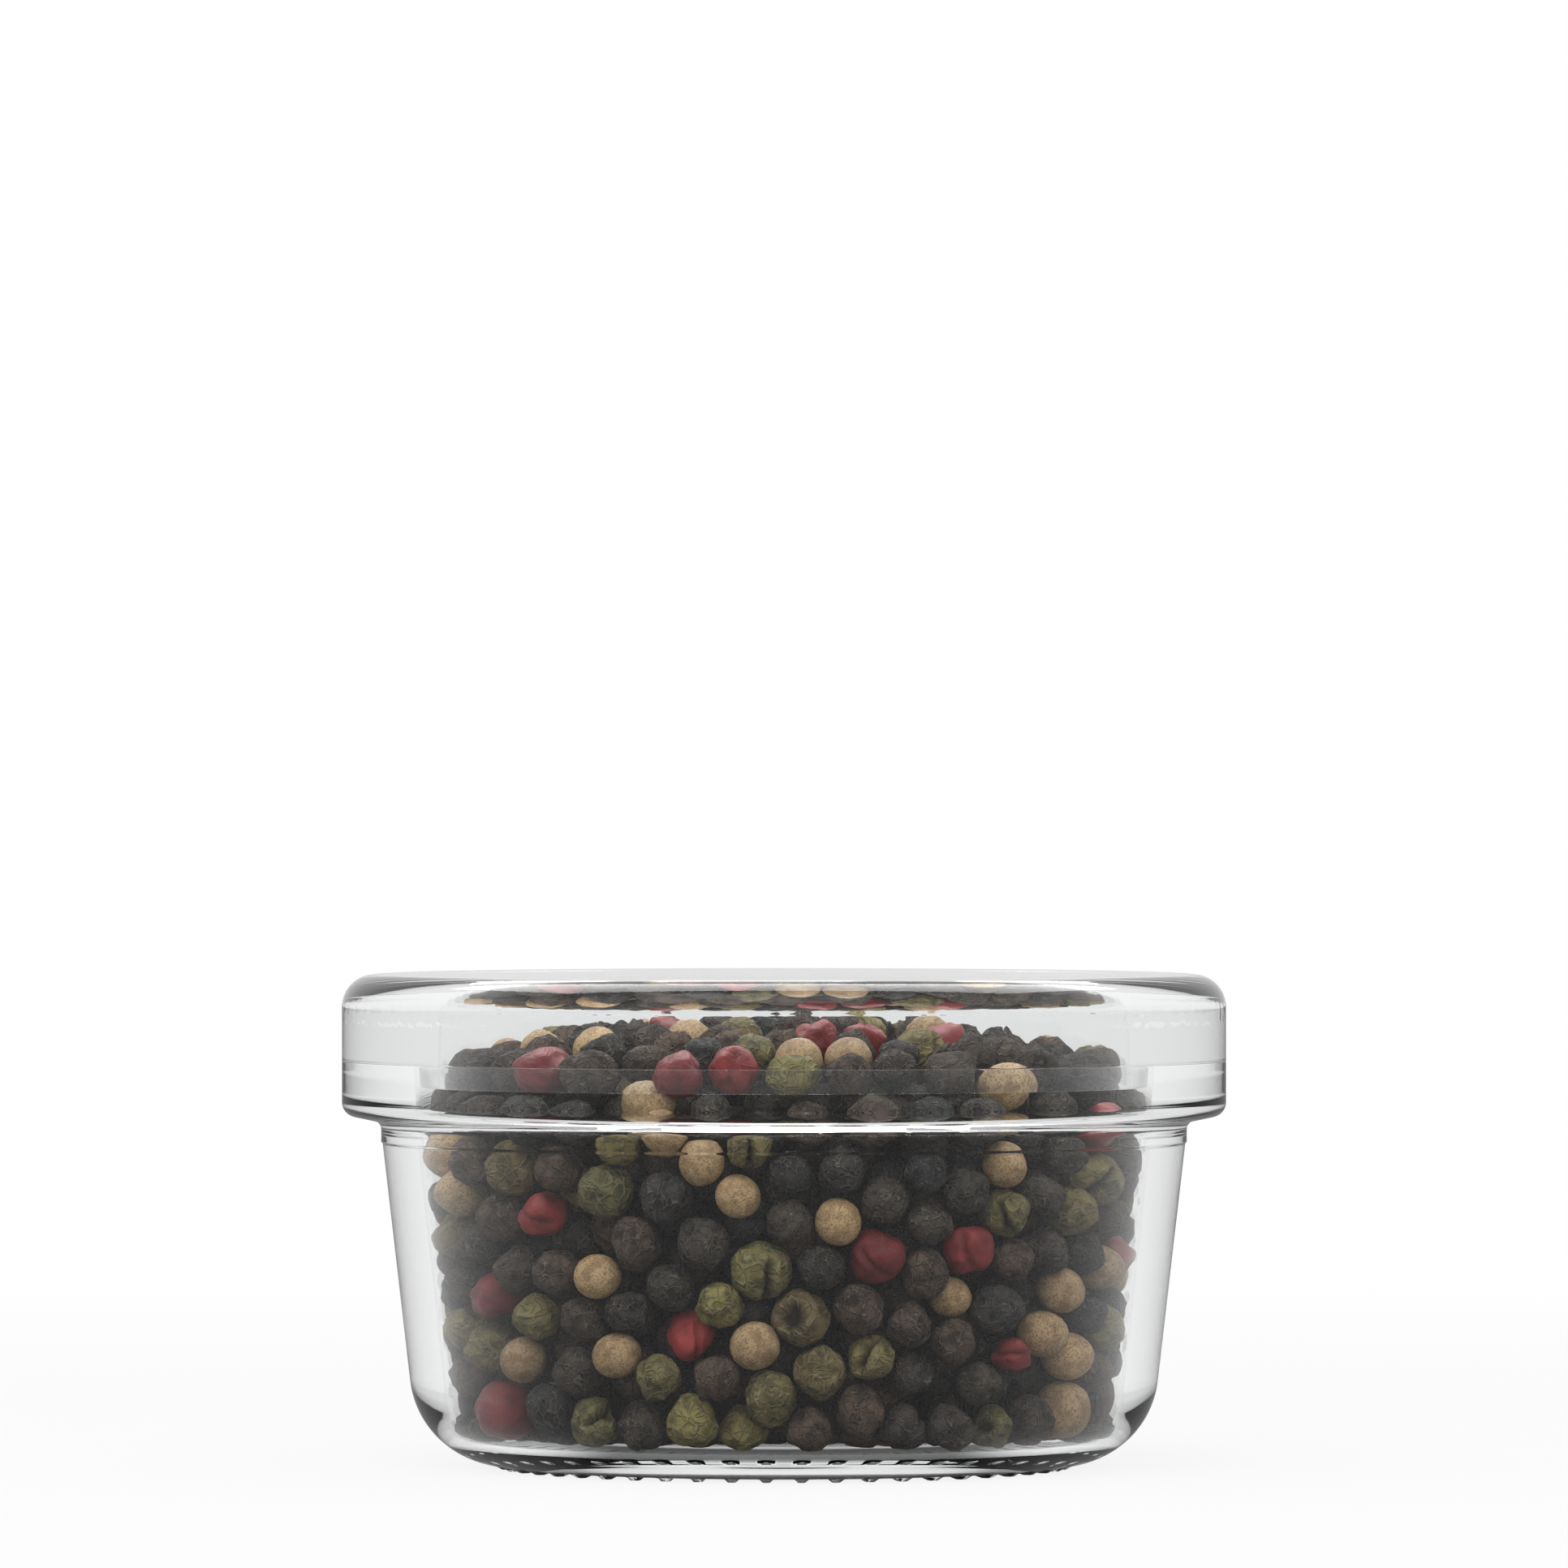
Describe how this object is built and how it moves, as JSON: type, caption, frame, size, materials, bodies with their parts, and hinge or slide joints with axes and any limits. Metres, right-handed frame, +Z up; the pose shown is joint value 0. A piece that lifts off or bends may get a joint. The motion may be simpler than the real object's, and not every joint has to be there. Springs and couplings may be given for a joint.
{
  "type": "glass storage jar",
  "caption": "Low round storage jar of clear pressed glass with a tapered wall, a flush loose glass lid on a round rim and a fill of mixed peppercorns.",
  "frame": {"origin": "on the jar's axis, on the surface that the base ridges stand on", "axes": "+Z up along the jar's axis, the way that the lid lifts off; X and Y are level, and the jar is round"},
  "size_m": [0.088, 0.088, 0.049],
  "materials": {
    "clear_glass": "clear pressed glass, fire polished",
    "lid_glass": "clear pressed glass, with a faintly uneven underside",
    "dried_corns": "dry plant matter: black, white, green and pink corns"
  },
  "bodies": {
    "jar": {"jar_body": "clear_glass", "peppercorn_fill": "dried_corns"},
    "lid": {"lid": "lid_glass"}
  },
  "joints": [
    {"name": "lid_lift", "type": "slide", "parent": "jar", "child": "lid", "axis": [0, 0, 1], "range_m": [0, 0.06]}
  ]
}
